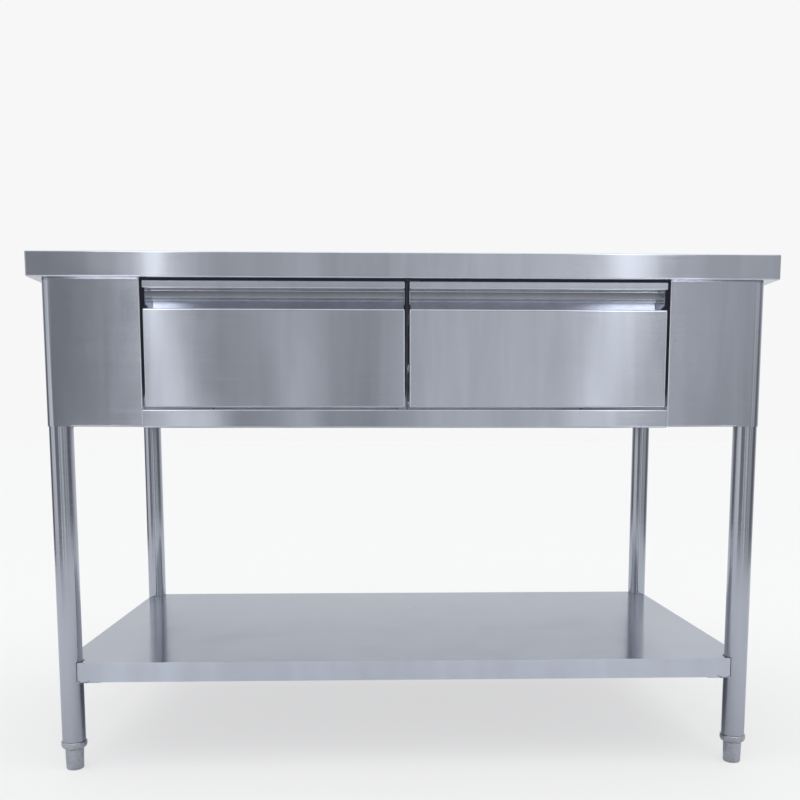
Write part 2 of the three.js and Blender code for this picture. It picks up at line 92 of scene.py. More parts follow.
LEG_RADIUS = (high("leg_front_left").x - low("leg_front_left").x) / 2
LEG_X = high("leg_front_right").x - LEG_RADIUS
LEG_Y = high("leg_back_left").y - LEG_RADIUS
APRON_X = high("apron_right").x
APRON_Y = high("apron_right").y
APRON_CORNER = APRON_X - LEG_X
GROOVE_STRIP = 12 * MM  # the drawer front's strip above the finger groove
GROOVE_WALL = 12 * MM  # the upright back of the groove
GROOVE_TOP = high("drawer_front_left").z - GROOVE_STRIP


# ------------------------------------------------------------------ node materials

class Nodes:
    """A short way to write a node tree: add a node, and link or set its inputs by name."""

    def __init__(self, tree):
        self.tree = tree
        tree.nodes.clear()

    def add(self, kind, inputs=None, **settings):
        node = self.tree.nodes.new(kind)
        for key, value in settings.items():
            setattr(node, key, value)
        for key, value in (inputs or {}).items():
            socket = node.inputs[key]
            if isinstance(value, bpy.types.NodeSocket):
                self.tree.links.new(value, socket)
            else:
                socket.default_value = value
        return node

    def math(self, operation, a, b=0.0, clamp=False):
        return self.add("ShaderNodeMath", {0: a, 1: b}, operation=operation, use_clamp=clamp).outputs[0]

    def mapped(self, value, from_low, from_high, to_low, to_high):
        inputs = {"Value": value, "From Min": from_low, "From Max": from_high, "To Min": to_low, "To Max": to_high}
        return self.add("ShaderNodeMapRange", inputs).outputs["Result"]

    def noise(self, vector, scale, detail=3.0, roughness=0.55, distortion=0.0):
        inputs = {"Vector": vector, "Scale": scale, "Detail": detail, "Roughness": roughness, "Distortion": distortion}
        return self.add("ShaderNodeTexNoise", inputs).outputs["Fac"]

    def stretched(self, vector, factors):
        return self.add("ShaderNodeVectorMath", {0: vector, 1: factors}, operation="MULTIPLY").outputs[0]


def new_material(name):
    material = bpy.data.materials.new(name)
    material.use_nodes = True
    return material, Nodes(material.node_tree)


def faces_up(n):
    """1 on level faces and 0 on upright ones."""
    normal = n.add("ShaderNodeSeparateXYZ", {0: n.add("ShaderNodeNewGeometry").outputs["True Normal"]})
    return n.math("GREATER_THAN", n.math("ABSOLUTE", normal.outputs["Z"]), 0.8)


def streak_space(n, along, across):
    """Object coordinates stretched along the grain. The grain is level on upright faces, and runs
    along X on level faces."""
    place = n.add("ShaderNodeTexCoord").outputs["Object"]
    upright = n.stretched(place, (along, along, across))
    level = n.stretched(place, (along, across, along))
    return n.add("ShaderNodeMix", {"Factor": faces_up(n), 4: upright, 5: level}, data_type="VECTOR").outputs[1]


# The dark that the groove's back wall fades to towards the strip above it: painted shade.
RECESS_SHADE = (0.03, 0.03, 0.035, 1.0)


def stainless(name, colour, roughness, anisotropy=1.0, grain=0.25, waviness=1.0, scuffs=0.3, seed=0.0,
              grime_and_painted_shade=None):
    """Brushed stainless sheet: fine grain, streaks, smudges, hairline scratches, slight waves, and weak broad upright
    bands that are painted reflections. Given two heights in its last argument, the sheet darkens from the first to the
    second: painted shade."""
    material, n = new_material(name)
    place = n.add("ShaderNodeTexCoord").outputs["Object"]
    place = n.add("ShaderNodeVectorMath", {0: place, 1: (seed, seed * 0.7, seed * 0.3)}, operation="ADD").outputs[0]

    fine = n.noise(streak_space(n, 12.0, 1500.0), 1.0, 2.0, 0.6)
    streaks = n.noise(streak_space(n, 2.0, 230.0), 1.0, 3.0, 0.6)
    smudges = n.mapped(n.noise(place, 6.0, 5.0, 0.6, 0.6), 0.5, 0.74, 0.0, 1.0)
    clouds = n.noise(place, 3.1, 3.0, 0.55, 0.8)
    # Broad upright bands of tone: painted reflections of a detailed room, weak on level faces.
    reflection_bands = n.noise(n.stretched(place, (26.0, 26.0, 3.0)), 1.0, 2.0, 0.5, 0.6)  # broad and upright
    reflection_bands = n.math("MULTIPLY", n.mapped(reflection_bands, 0.35, 0.65, -0.09, 0.09), n.mapped(faces_up(n), 0.0, 1.0, 1.0, 0.12))

    # hairlines: thin level lines of a noise, kept only in some places
    veins = n.math("ABSOLUTE", n.math("SUBTRACT", n.noise(place, 16.0, 1.0, 0.4, 1.5), 0.5))
    hairline = n.mapped(veins, 0.0, 0.003, 1.0, 0.0)
    kept = n.mapped(n.noise(place, 4.5, 2.0), 0.56, 0.66, 0.0, scuffs)
    hairline = n.math("MULTIPLY", hairline, kept)

    shade = n.mapped(fine, 0.3, 0.7, -0.05 * grain, 0.05 * grain)
    shade = n.math("ADD", shade, n.mapped(streaks, 0.3, 0.7, -0.04 * grain, 0.04 * grain))
    shade = n.math("ADD", shade, n.mapped(clouds, 0.35, 0.65, -0.05, 0.05))
    shade = n.math("ADD", shade, reflection_bands)
    shade = n.math("ADD", shade, n.math("MULTIPLY", smudges, -0.03))
    shade = n.math("ADD", shade, n.math("MULTIPLY", hairline, 0.15))
    level = n.math("ADD", shade, 0.5, clamp=True)
    darker = tuple(c * 0.75 for c in colour) + (1.0,)
    lighter = tuple(c * 1.25 for c in colour) + (1.0,)
    tint = n.add("ShaderNodeMix", {"Factor": level, 6: darker, 7: lighter}, data_type="RGBA").outputs[2]
    # Painted shade: the sheet darkens from the first given height to the second.
    if grime_and_painted_shade:
        height = n.add("ShaderNodeSeparateXYZ", {0: n.add("ShaderNodeTexCoord").outputs["Object"]}).outputs["Z"]
        painted_darkening = n.mapped(height, grime_and_painted_shade[0], grime_and_painted_shade[1], 0.0, 0.7)
        tint = n.add("ShaderNodeMix", {"Factor": painted_darkening, 6: tint, 7: RECESS_SHADE}, data_type="RGBA").outputs[2]

    rough = n.mapped(fine, 0.3, 0.7, roughness - 0.012, roughness + 0.012)
    rough = n.math("ADD", rough, n.mapped(streaks, 0.3, 0.7, -0.008, 0.008))
    rough = n.math("ADD", rough, n.mapped(clouds, 0.35, 0.65, -0.012, 0.012))
    rough = n.math("ADD", rough, n.math("MULTIPLY", smudges, 0.02))
    rough = n.math("ADD", rough, n.math("MULTIPLY", hairline, 0.2), clamp=True)

    wave = n.noise(n.stretched(place, (1.0, 1.0, 1.6)), 2.3, 1.0, 0.4, 0.4)
    dents = n.noise(place, 8.0, 2.0, 0.5)
    reliefs = [(wave, 0.0024 * waviness), (dents, 0.00016 * waviness), (streaks, 0.000012 * grain), (fine, 0.000006 * grain),
               (hairline, -0.000006)]
    normal = None
    for height, distance in reliefs:
        inputs = {"Strength": 1.0, "Distance": abs(distance), "Height": height}
        if normal:
            inputs["Normal"] = normal
        normal = n.add("ShaderNodeBump", inputs, invert=distance < 0).outputs[0]

    tangent = n.add("ShaderNodeTangent", direction_type="UV_MAP", uv_map="grain")
    shader = n.add("ShaderNodeBsdfPrincipled", {
        "Base Color": tint,
        "Metallic": 1.0,
        "Roughness": rough,
        "Anisotropic": anisotropy,
        "Tangent": tangent.outputs[0],
        "Normal": normal,
    })
    n.add("ShaderNodeOutputMaterial", {"Surface": shader.outputs[0]})
    return material


def turned_steel(name, colour, roughness, marks=1.0):
    """Turned or drawn steel with rings of tool marks and a little grime."""
    material, n = new_material(name)
    place = n.add("ShaderNodeTexCoord").outputs["Object"]
    rings = n.noise(n.stretched(place, (20.0, 20.0, 1600.0)), 1.0, 2.0)
    grime_and_painted_shade = n.mapped(n.noise(place, 60.0, 4.0, 0.6), 0.48, 0.7, 0.0, 1.0)
    level = n.math("ADD", n.mapped(rings, 0.3, 0.7, 0.5 - 0.1 * marks, 0.5 + 0.1 * marks),
                   n.math("MULTIPLY", grime_and_painted_shade, -0.25), clamp=True)
    tint = n.add("ShaderNodeMix", {"Factor": level, 6: tuple(c * 0.6 for c in colour) + (1.0,),
                                   7: tuple(min(1.0, c * 1.3) for c in colour) + (1.0,)}, data_type="RGBA")
    rough = n.math("ADD", n.math("ADD", roughness, n.mapped(rings, 0.3, 0.7, -0.05, 0.05)),
                   n.math("MULTIPLY", grime_and_painted_shade, 0.15), clamp=True)
    bump = n.add("ShaderNodeBump", {"Strength": 1.0, "Distance": 0.000006 * marks, "Height": rings})
    shader = n.add("ShaderNodeBsdfPrincipled", {
        "Base Color": tint.outputs[2], "Metallic": 1.0, "Roughness": rough, "Normal": bump.outputs[0],
    })
    n.add("ShaderNodeOutputMaterial", {"Surface": shader.outputs[0]})
    return material


def chipboard(name):
    """Raw chipboard: pressed flakes in several browns."""
    material, n = new_material(name)
    place = n.add("ShaderNodeTexCoord").outputs["Object"]
    flakes = n.add("ShaderNodeTexVoronoi", {"Vector": n.stretched(place, (1.0, 0.6, 1.0)), "Scale": 320.0})
    fibre = n.noise(n.stretched(place, (60.0, 300.0, 300.0)), 1.0, 4.0, 0.6)
    ramp = n.add("ShaderNodeValToRGB", {"Fac": n.math("ADD", n.mapped(flakes.outputs["Distance"], 0.0, 0.9, 0.0, 0.6),
                                                      n.math("MULTIPLY", fibre, 0.4))})
    ramp.color_ramp.elements[0].color = (0.55, 0.37, 0.19, 1.0)
    ramp.color_ramp.elements[1].color = (0.24, 0.14, 0.06, 1.0)
    bump = n.add("ShaderNodeBump", {"Strength": 0.5, "Distance": 0.0003, "Height": flakes.outputs["Distance"]})
    shader = n.add("ShaderNodeBsdfPrincipled", {
        "Base Color": ramp.outputs[0], "Roughness": 0.85, "Normal": bump.outputs[0],
    })
    n.add("ShaderNodeOutputMaterial", {"Surface": shader.outputs[0]})
    return material


STEEL_LIGHT = (0.605, 0.635, 0.695)
STEEL_MID = (0.57, 0.6, 0.66)
worktop_steel = stainless("worktop_steel", STEEL_LIGHT, 0.1, waviness=0.45, seed=1.4)
apron_steel = stainless("apron_steel", (0.55, 0.58, 0.64), 0.11, waviness=1.3, seed=2.0)
drawer_steel = stainless("drawer_steel", STEEL_MID, 0.11, waviness=0.7, seed=3.0)
# The inside of the groove: a lighter copy of the drawer steel, painted light.
lit_groove_steel = stainless("lit_groove_steel", (0.685, 0.705, 0.75), 0.1, grain=0.05, waviness=0.3, seed=3.0)
# The groove's back wall: a darker copy of the drawer steel, darkest under the strip above: painted shade.
shaded_groove_back_steel = stainless("shaded_groove_back_steel", (0.44, 0.455, 0.48), 0.22, grain=0.05, waviness=0.3, seed=3.0,
                              grime_and_painted_shade=(GROOVE_TOP - GROOVE_WALL, GROOVE_TOP))
shelf_steel = stainless("shelf_steel", (0.6, 0.64, 0.71), 0.17, waviness=1.0, scuffs=0.9, seed=4.0)
leg_steel = stainless("leg_steel", (0.475, 0.5, 0.55), 0.08, grain=0.3, waviness=0.15, seed=5.0)
box_steel = stainless("box_steel", STEEL_MID, 0.24, anisotropy=0.7, seed=6.0)
hidden_steel = stainless("hidden_steel", (0.52, 0.535, 0.56), 0.34, anisotropy=0.4, seed=7.0)
slide_steel = stainless("slide_steel", (0.62, 0.645, 0.69), 0.22, anisotropy=0.4, waviness=0.2, seed=8.0)
# A near-white steel for the folds that catch the light: painted highlights.
fold_highlight_steel = stainless("fold_highlight_steel", (0.9, 0.92, 0.95), 0.2, waviness=0.1, seed=8.5)
# A dark steel for the front edges deep in the gaps between the drawers: painted shade.
shaded_edge_steel = turned_steel("shaded_edge_steel", (0.16, 0.165, 0.18), 0.5)
foot_steel = turned_steel("foot_steel", (0.56, 0.575, 0.61), 0.24, marks=0.25)
bolt_steel = turned_steel("bolt_steel", (0.5, 0.51, 0.53), 0.32)
plate_steel = turned_steel("plate_steel", (0.52, 0.535, 0.56), 0.34, marks=0.2)
board_wood = chipboard("board_wood")


# ------------------------------------------------------------------ mesh tools

def evaluated_mesh(obj):
    """The object's mesh with its modifiers made real."""
    bpy.context.view_layer.update()
    graph = bpy.context.evaluated_depsgraph_get()
    return bpy.data.meshes.new_from_object(obj.evaluated_get(graph), preserve_all_data_layers=True, depsgraph=graph)


def lay_grain(mesh, turned_grain=None):
    """A UV layer whose U runs across the grain on every face, for the stretched highlight. The grain
    stands upright on the faces that turned_grain picks."""
    up = Vector((0.0, 0.0, 1.0))
    layer = mesh.uv_layers.new(name="grain")
    for polygon in mesh.polygons:
        level = abs(polygon.normal.z) > 0.99
        along = Vector((1.0, 0.0, 0.0)) if level else up.cross(polygon.normal).normalized()
        across = polygon.normal.cross(along)
        if turned_grain and turned_grain(polygon):
            along, across = across, -along
        for loop in polygon.loop_indices:
            place = mesh.vertices[mesh.loops[loop].vertex_index].co
            layer.data[loop].uv = (place.dot(across), place.dot(along))


def finish_faces(mesh, finishes):
    """Gives the faces that each test picks a material of their own."""
    for material, test in finishes:
        mesh.materials.append(material)
        for polygon in mesh.polygons:
            if test(polygon):
                polygon.material_index = len(mesh.materials) - 1


def piece(name, mesh, material, body, nodes=(), turned_grain=None, finishes=()):
    """A finished piece of the table that stands for the named CAD nodes."""
    for polygon in mesh.polygons:
        polygon.use_smooth = True
    mesh.set_sharp_from_angle(angle=radians(32))
    lay_grain(mesh, turned_grain)
    mesh.materials.clear()
    mesh.materials.append(material)
    finish_faces(mesh, finishes)
    obj = bpy.data.objects.new(name, mesh)
    bpy.context.scene.collection.objects.link(obj)
    weighted = obj.modifiers.new("flat_faces", "WEIGHTED_NORMAL")
    weighted.keep_sharp = True
    weighted.weight = 100
    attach(obj, body)
    if nodes:
        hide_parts(*nodes)
    return obj


def folded(bm, thickness=SHEET, bend=BEND, segments=BEND_SEGMENTS):
    """Turns the outer face of a sheet, drawn with sharp folds, into a sheet with rounded folds."""
    bmesh.ops.remove_doubles(bm, verts=bm.verts, dist=1e-6)
    mesh = bpy.data.meshes.new("sheet")
    bm.to_mesh(mesh)
    bm.free()
    obj = bpy.data.objects.new("sheet", mesh)
    bpy.context.scene.collection.objects.link(obj)
    rounding = obj.modifiers.new("folds", "BEVEL")
    rounding.width = bend
    rounding.segments = segments
    rounding.limit_method = "ANGLE"
    rounding.angle_limit = radians(33)
    metal = obj.modifiers.new("metal", "SOLIDIFY")
    metal.thickness = thickness
    metal.offset = -1.0
    metal.use_even_offset = True
    result = evaluated_mesh(obj)
    bpy.data.objects.remove(obj)
    return result


def run_points(path, axis, where):
    """Path points (2D) placed in space at a position along an axis."""
    if axis == "X":
        return [Vector((where, a, b)) for a, b in path]
    if axis == "Y":
        return [Vector((a, where, b)) for a, b in path]
    return [Vector((a, b, where)) for a, b in path]


def strip(bm, path, axis, start, end, outward):
    """A sheet's outer face along a path, run along an axis. outward points away from the metal
    on the path's first stretch."""
    first = [bm.verts.new(p) for p in run_points(path, axis, start)]
    last = [bm.verts.new(p) for p in run_points(path, axis, end)]
    faces = [bm.faces.new((first[i], first[i + 1], last[i + 1], last[i])) for i in range(len(path) - 1)]
    faces[0].normal_update()
    if faces[0].normal.dot(Vector(outward)) < 0:
        bmesh.ops.reverse_faces(bm, faces=faces)
    return first, last, faces


def cap(bm, verts, outward):
    face = bm.faces.new(verts)
    face.normal_update()
    if face.normal.dot(Vector(outward)) < 0:
        face.normal_flip()
    return face


def arc(centre, radius, start, end, steps):
    """Points on a plan arc, from one angle in degrees to another."""
    angles = [radians(start + (end - start) * k / steps) for k in range(steps + 1)]
    return [(centre[0] + radius * cos(a), centre[1] + radius * sin(a)) for a in angles]


def turned(profile, centre, steps=64):
    """A closed solid turned about a vertical axis. The profile runs from axis to axis or closes."""
    bm = bmesh.new()
    verts = [bm.verts.new((r, 0.0, z)) for r, z in profile]
    edges = [bm.edges.new((verts[i], verts[i + 1])) for i in range(len(verts) - 1)]
    bmesh.ops.spin(bm, geom=verts + edges, cent=(0, 0, 0), axis=(0, 0, 1), angle=2 * pi, steps=steps)
    bmesh.ops.remove_doubles(bm, verts=bm.verts, dist=1e-6)
    bmesh.ops.recalc_face_normals(bm, faces=bm.faces)
    bmesh.ops.translate(bm, verts=bm.verts, vec=Vector(centre))
    mesh = bpy.data.meshes.new("turned")
    bm.to_mesh(mesh)
    bm.free()
    return mesh


# ------------------------------------------------------------------ worktop

def rounded_loop(x, y, radius, steps):
    """A rectangle's plan outline, half sizes x and y, with rounded corners."""
    points = []
    for k, (sx, sy) in enumerate([(1, 1), (-1, 1), (-1, -1), (1, -1)]):
        centre = (sx * (x - radius), sy * (y - radius))
        points += arc(centre, radius, 90 * k, 90 * k + 90, steps)
    return points


def build_worktop():
    lowest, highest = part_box("worktop_skin")
    x, y = highest.x, highest.y
    mouth = 35 * MM
    corner_steps = 5
    outer = rounded_loop(x, y, TOP_CORNER, corner_steps)
    inner = rounded_loop(x - mouth, y - mouth, 1 * MM, corner_steps)
    bm = bmesh.new()
    upper = [bm.verts.new((a, b, highest.z)) for a, b in outer]
    lower = [bm.verts.new((a, b, lowest.z)) for a, b in outer]
    edge = [bm.verts.new((a, b, lowest.z)) for a, b in inner]
    count = len(outer)
    bm.faces.new(upper)
    for i in range(count):
        j = (i + 1) % count
        bm.faces.new((upper[j], upper[i], lower[i], lower[j]))
        bm.faces.new((lower[j], lower[i], edge[i], edge[j]))
    mesh = folded(bm, TOP_SHEET)
    piece("worktop", mesh, worktop_steel, "frame", ["worktop_skin"])


def build_hat_channel(name, node, material):
    lowest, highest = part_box(node)
    middle = (lowest.y + highest.y) / 2
    crown = 22 * MM
    bm = bmesh.new()
    path = [(lowest.y, highest.z - SHEET), (middle - crown, highest.z - SHEET), (middle - crown, lowest.z),
            (middle + crown, lowest.z), (middle + crown, highest.z - SHEET), (highest.y, highest.z - SHEET)]
    strip(bm, path, "X", lowest.x, highest.x, (0, 0, -1))
    piece(name, folded(bm), material, "frame", [node])


# ------------------------------------------------------------------ apron

def build_side_apron(side):
    sign = SIDES[side]
    node = f"apron_{side}"
    lowest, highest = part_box(node)
    flange = 16 * MM
    opening = min(abs(lowest.x), abs(highest.x))
    flanges = ((lowest.z, -1, 0 * MM), (highest.z, 1, 35 * MM))  # the upper ones stop short of the leg sockets
    fold_end = -318 * MM
    rear_end = 500 * MM
    stops = {"panel": 540 * MM, "side": 290 * MM}
    front = [(opening, fold_end), (opening, -APRON_Y), (stops["panel"], -APRON_Y)]
    front += arc((LEG_X, -LEG_Y), APRON_CORNER, -90, 0, 14)
    back = [(APRON_X, -stops["side"]), (APRON_X, stops["side"])]
    back += arc((LEG_X, LEG_Y), APRON_CORNER, 0, 90, 14)
    back += [(rear_end, APRON_Y)]
    path = [(sign * a, b) for a, b in front + back]
    bm = bmesh.new()
    strip(bm, path, "Z", lowest.z, highest.z, (-sign, 0, 0))
    # the first stretch lies in the drawer opening, so its outer face looks to the middle
    for z, up, short in flanges:
        panel, half_side = stops["panel"] - short, stops["side"] - short
        for a, b in (
            (Vector((sign * opening, -APRON_Y, z)), Vector((sign * panel, -APRON_Y, z))),
            (Vector((sign * APRON_X, -half_side, z)), Vector((sign * APRON_X, half_side, z))),
        ):
            inward = Vector((0, flange, 0)) if abs(a.y - b.y) < 1e-9 else Vector((-sign * flange, 0, 0))
            clip = Vector((sign * (SHEET + GAP), 0, 0)) if inward.y else Vector((0, 0, 0))
            behind = inward.normalized() * SHEET if up > 0 else Vector((0, 0, 0))
            cap(bm, [bm.verts.new(p) for p in (a + behind, b + behind, b + inward, a + inward + clip)], (0, 0, up))

    def on_fold(polygon):
        """The fold beside the drawers, painted near-white as a highlight."""
        beside = abs(abs(polygon.center.x) - opening) < BEND and polygon.center.y < BEND - APRON_Y
        return beside and 0.2 < abs(polygon.normal.x) < 0.98

    finishes = [(fold_highlight_steel, on_fold)]
    piece(f"apron_{side}_sheet", folded(bm), apron_steel, "frame", [node], finishes=finishes)


def build_rear_apron():
    lowest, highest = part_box("apron_back")
    path = [(lowest.y, lowest.z), (highest.y, lowest.z), (highest.y, highest.z), (lowest.y, highest.z)]
    bm = bmesh.new()
    strip(bm, path, "X", lowest.x, highest.x, (0, 0, -1))
    piece("apron_back_sheet", folded(bm), apron_steel, "frame", ["apron_back"])


def build_bottom_rail():
    lowest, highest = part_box("bottom_rail")
    path = [(highest.y, highest.z), (lowest.y, highest.z), (lowest.y, lowest.z), (highest.y, lowest.z)]
    bm = bmesh.new()
    strip(bm, path, "X", lowest.x, highest.x, (0, 0, 1))
    piece("rail_under_drawers", folded(bm), apron_steel, "frame", ["bottom_rail"])


def on_front_edge(polygon):
    """The edges that face the front, painted dark as the shade in the gaps between the drawers."""
    return polygon.normal.y < -0.9


def build_wall(name, node, sign, thickness):
    """A drawer compartment wall: an upright sheet with a flange at the top."""
    lowest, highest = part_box(node)
    face = lowest.x if sign > 0 else highest.x
    far = highest.x if sign > 0 else lowest.x
    path = [(far, highest.z), (face, highest.z), (face, lowest.z)]
    bm = bmesh.new()
    strip(bm, path, "Y", lowest.y, highest.y, (0, 0, 1))
    finishes = [(shaded_edge_steel, on_front_edge)]
    piece(name, folded(bm, thickness), hidden_steel, "frame", [node], finishes=finishes)


# ------------------------------------------------------------------ drawers

def add_prism(mesh, outline, axis_x, thickness):
    """Adds an upright plate to a mesh. The outline gives its corners across and up."""
    bm = bmesh.new()
    bm.from_mesh(mesh)
    near = [bm.verts.new((axis_x, a, b)) for a, b in outline]
    far = [bm.verts.new((axis_x + thickness, a, b)) for a, b in outline]
    faces = [bm.faces.new(near), bm.faces.new(list(reversed(far)))]
    for i in range(len(outline)):
        j = (i + 1) % len(outline)
        faces.append(bm.faces.new((near[j], near[i], far[i], far[j])))
    bmesh.ops.recalc_face_normals(bm, faces=faces)
    bm.to_mesh(mesh)
    bm.free()


def build_drawer_front(side):
    node = f"drawer_front_{side}"
    lowest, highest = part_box(node)
    face = lowest.y
    depth = 25 * MM
    back = face + depth + SHEET - GAP
    slope_height = 21 * MM
    plate_setback = 12 * MM
    groove_top = GROOVE_TOP
    wall_bottom = groove_top - GROOVE_WALL
    slope_bottom = wall_bottom - slope_height
    path = [
        (back, highest.z), (face, highest.z), (face, groove_top), (face + depth, groove_top),
        (face + depth, wall_bottom), (face, slope_bottom), (face, lowest.z), (back, lowest.z),
    ]
    bm = bmesh.new()
    first, last, _ = strip(bm, path, "X", lowest.x, highest.x, (0, 0, 1))
    cap(bm, first, (-1, 0, 0))
    cap(bm, last, (1, 0, 0))
    mesh = folded(bm, SHEET, 2.0 * MM)
    on_slope = slope_bottom + slope_height * plate_setback / depth
    plate = [(face + plate_setback, groove_top), (face + depth, groove_top), (face + depth, wall_bottom),
             (face + plate_setback, on_slope)]
    add_prism(mesh, plate, lowest.x + GAP, SHEET)
    add_prism(mesh, plate, highest.x - GAP - SHEET, SHEET)

    def in_handle(polygon):
        """The strip above the finger groove and the groove's back, which are brushed upright."""
        return abs(polygon.normal.y) > 0.9 and polygon.center.z > wall_bottom

    # The groove's back wall, which takes the darker groove steel: painted shade.
    def on_groove_back(polygon):
        behind = face + depth / 2 < polygon.center.y < face + depth + SHEET / 2
        return behind and abs(polygon.normal.y) > 0.9 and wall_bottom < polygon.center.z < groove_top

    # Inside the groove, which takes the lighter groove steel: painted light.
    def in_groove(polygon):
        inside = face + 1 * MM < polygon.center.y < face + depth - SHEET / 2
        return inside and slope_bottom < polygon.center.z < groove_top + SHEET / 2

    # The upright end folds of the drawer front, which take the painted highlight.
    def on_end_fold(polygon):
        return 0.2 < abs(polygon.normal.x) < 0.98 and polygon.normal.y < 0 and not in_groove(polygon)

    finishes = [(shaded_groove_back_steel, on_groove_back), (lit_groove_steel, in_groove), (fold_highlight_steel, on_end_fold)]
    piece(f"drawer_front_sheet_{side}", mesh, drawer_steel, f"drawer_{side}", [node],
          in_handle, finishes)


def build_drawer_box(side):
    node = f"drawer_box_{side}"
    lowest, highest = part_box(node)
    ledge = 8 * MM + BOX_SHEET
    outer = [(lowest.x, lowest.y), (highest.x, lowest.y), (highest.x, highest.y), (lowest.x, highest.y)]
    inner = [(lowest.x + ledge, lowest.y + ledge), (highest.x - ledge, lowest.y + ledge),
             (highest.x - ledge, highest.y - ledge), (lowest.x + ledge, highest.y - ledge)]
    bm = bmesh.new()
    bottom = [bm.verts.new((a, b, lowest.z)) for a, b in outer]
    rim = [bm.verts.new((a, b, highest.z)) for a, b in outer]
    edge = [bm.verts.new((a, b, highest.z)) for a, b in inner]
    bm.faces.new(list(reversed(bottom)))
    for i in range(4):
        j = (i + 1) % 4
        bm.faces.new((bottom[i], bottom[j], rim[j], rim[i]))
        bm.faces.new((rim[i], rim[j], edge[j], edge[i]))
    mesh = folded(bm, BOX_SHEET, 2.0 * MM, 4)
    piece(f"drawer_box_sheet_{side}", mesh, box_steel, f"drawer_{side}", [node])


def build_rivets(side):
    """The domed rivets inside a drawer that hold its slides. Each is a lens, half sunk in the sheet."""
    lowest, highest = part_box(f"drawer_box_{side}")
    height = (low(f"slide_inner_{side}_wall").z + high(f"slide_inner_{side}_wall").z) / 2
    bm = bmesh.new()
    for x in (lowest.x + BOX_SHEET, highest.x - BOX_SHEET):
        for share in (0.12, 0.5, 0.88):
            y = lowest.y + share * (highest.y - lowest.y)
            place = Matrix.Translation((x, y, height)) @ Matrix.Diagonal((0.9 * MM, 3.6 * MM, 3.6 * MM, 1.0))
            bmesh.ops.create_uvsphere(bm, u_segments=20, v_segments=12, radius=1.0, matrix=place)
    mesh = bpy.data.meshes.new("rivets")
    bm.to_mesh(mesh)
    bm.free()
    piece(f"slide_rivets_{side}", mesh, bolt_steel, f"drawer_{side}")


SLIDE_BODIES = {"outer": "frame", "middle": "slide_middles_{}", "inner": "drawer_{}"}


def build_slide_member(member, side, wall):
    """One channel of a slide, folded like a C. The inner one opens towards the cabinet wall."""
    node = f"slide_{member}_{side}_{wall}"
    lowest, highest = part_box(node)
    faces_right = (side == "left") == (wall == "wall")
    if member == "inner":
        faces_right = not faces_right
    back, lips = (lowest.x, highest.x) if faces_right else (highest.x, lowest.x)
    path = [(lips, highest.z), (back, highest.z), (back, lowest.z), (lips, lowest.z)]
    bm = bmesh.new()
    strip(bm, path, "Y", lowest.y, highest.y, (0, 0, 1))
    body = SLIDE_BODIES[member].format(side)
    name = f"slide_{member}_channel_{side}_{wall}"
    piece(name, folded(bm), slide_steel, body, [node], finishes=[(shaded_edge_steel, on_front_edge)])


# ------------------------------------------------------------------ legs and feet

def build_leg(corner):
    node = f"leg_{corner}"
    lowest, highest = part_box(node)
    sx, sy = corner_signs(corner)
    outer, inner, edge = LEG_RADIUS, LEG_RADIUS - SHEET, 0.3 * MM
    profile = [
        (inner, lowest.z), (outer - edge, lowest.z), (outer, lowest.z + edge),
        (outer, highest.z - edge), (outer - edge, highest.z), (inner, highest.z), (inner, lowest.z),
    ]
    mesh = turned(profile, (sx * LEG_X, sy * LEG_Y, 0), 72)
    piece(f"leg_tube_{corner}", mesh, leg_steel, "frame", [node])


def build_foot(corner):
    """The levelling foot: a tapered pad with a rounded sole, on its stud."""
    node = f"foot_{corner}"
    lowest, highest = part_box(node)
    sx, sy = corner_signs(corner)
    radius = (highest.x - lowest.x) / 2
    stud, height = 6 * MM, 36.2 * MM
    base = lowest.z
    profile = [(0.0, base), (radius - 3.2 * MM, base)]
    profile += [(radius - 3.2 * MM + 2.3 * MM * sin(a), base + 2.3 * MM * (1 - cos(a)))
                for a in [radians(15 * k) for k in range(1, 7)]]
    profile += [(radius - 0.1 * MM, base + height - 2.4 * MM), (radius - 0.5 * MM, base + height - 1.0 * MM),
                (radius - 1.3 * MM, base + height), (stud, base + height)]
    pitch = 1.75 * MM
    turns = int((highest.z - base - height) / pitch)
    for k in range(turns):
        z = base + height + k * pitch
        profile += [(stud, z + 0.1 * pitch), (stud - 0.9 * MM, z + 0.5 * pitch), (stud, z + 0.9 * pitch)]
    profile += [(stud - 0.9 * MM, highest.z), (0.0, highest.z)]
    mesh = turned(profile, (sx * LEG_X, sy * LEG_Y, 0), 56)
    piece(f"levelling_foot_{corner}", mesh, foot_steel, f"foot_{corner}", [node])


def build_foot_insert(corner):
    """The plug in the leg's end. Its collar is rounded and tapers in towards the foot."""
    node = f"foot_insert_{corner}"
    lowest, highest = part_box(node)
    sx, sy = corner_signs(corner)
    collar = (highest.x - lowest.x) / 2
    bore, plug = 6.3 * MM, LEG_RADIUS - SHEET - GAP
    shoulder = low(f"leg_{corner}").z - GAP
    profile = [(bore, lowest.z), (15.9 * MM, lowest.z)]
    profile += [(16.2 * MM + (collar - 16.2 * MM) * sin(a), lowest.z + 7.0 * MM * (1 - cos(a)) ** 0.9)
                for a in [radians(10 * k) for k in range(1, 10)]]
    profile += [(collar, shoulder - 1.8 * MM)]
    profile += [(collar - 1.6 * MM * (1 - cos(a)), shoulder - 1.8 * MM + 1.8 * MM * sin(a))
                for a in [radians(18 * k) for k in range(1, 6)]]
    profile += [(plug, shoulder), (plug, highest.z), (bore, highest.z), (bore, lowest.z)]
    mesh = turned(profile, (sx * LEG_X, sy * LEG_Y, 0), 72)
    piece(f"foot_collar_{corner}", mesh, foot_steel, "frame", [node])


# ------------------------------------------------------------------ lower shelf

